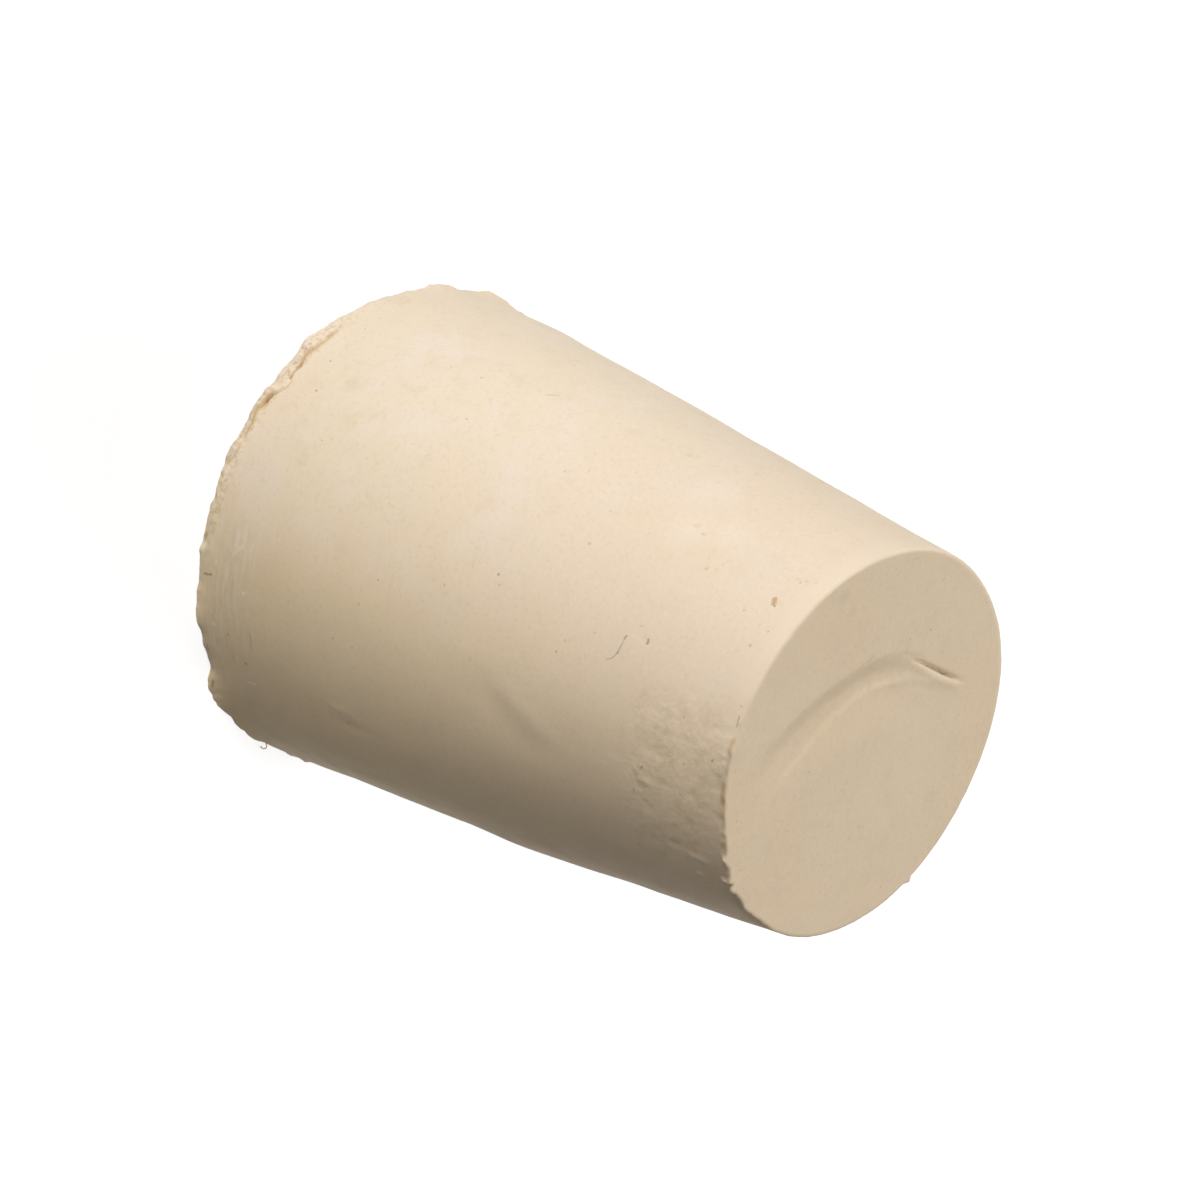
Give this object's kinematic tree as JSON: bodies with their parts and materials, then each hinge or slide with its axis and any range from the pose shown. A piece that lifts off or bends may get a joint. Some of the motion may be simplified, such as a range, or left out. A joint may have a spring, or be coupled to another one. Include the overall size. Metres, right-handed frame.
{
  "type": "laboratory rubber stopper",
  "caption": "Solid tapered rubber stopper with a torn flash lip round its wide end and a crescent crease in its small face.",
  "frame": {"origin": "centre of the wide end face, on the plane that the stopper stands on", "axes": "+Z along the stopper's axis from the wide end to the small end; -Y is the level direction towards the picture's camera"},
  "size_m": [0.0194, 0.0194, 0.0242],
  "materials": {
    "rubber": "satin cream natural rubber, matte on the small face"
  },
  "bodies": {
    "root": {"stopper": "rubber"}
  },
  "joints": []
}
